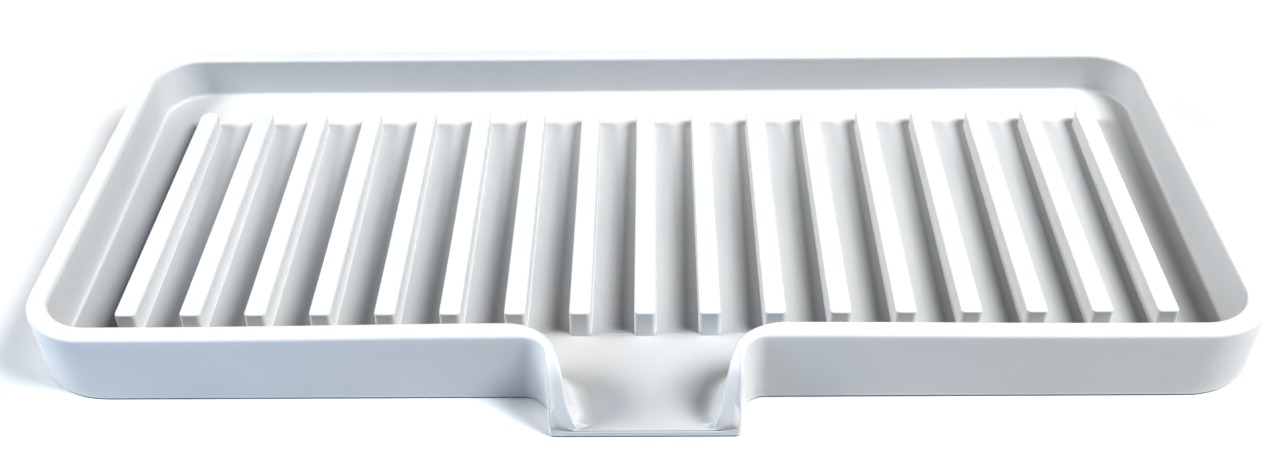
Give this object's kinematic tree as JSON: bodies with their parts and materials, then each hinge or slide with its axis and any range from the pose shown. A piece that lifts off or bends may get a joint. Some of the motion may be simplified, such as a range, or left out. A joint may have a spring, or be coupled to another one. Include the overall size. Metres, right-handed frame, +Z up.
{
  "type": "draining soap tray",
  "caption": "Shallow one-piece silicone tray with parallel ribs on a floor that slopes to an open pour spout in its front wall.",
  "frame": {"origin": "on the surface the tray stands on, under the middle of its outline, spout included", "axes": "+X along the tray's length, the spout points to -Y, +Z up"},
  "size_m": [0.3, 0.1468, 0.019],
  "materials": {
    "silicone": "satin white silicone"
  },
  "bodies": {
    "root": {"tray_floor": "silicone", "spout_floor": "silicone", "rear_wall": "silicone", "left_wall": "silicone", "right_wall": "silicone", "front_wall_left": "silicone", "front_wall_right": "silicone", "rear_left_corner": "silicone", "rear_right_corner": "silicone", "front_left_corner": "silicone", "front_right_corner": "silicone", "spout_cheek_left": "silicone", "spout_cheek_right": "silicone", "rib_01": "silicone", "rib_02": "silicone", "rib_03": "silicone", "rib_04": "silicone", "rib_05": "silicone", "rib_06": "silicone", "rib_07": "silicone", "rib_08": "silicone", "rib_09": "silicone", "rib_10": "silicone", "rib_11": "silicone", "rib_12": "silicone", "rib_13": "silicone", "rib_14": "silicone", "rib_15": "silicone", "rib_16": "silicone", "rib_17": "silicone"}
  },
  "joints": []
}
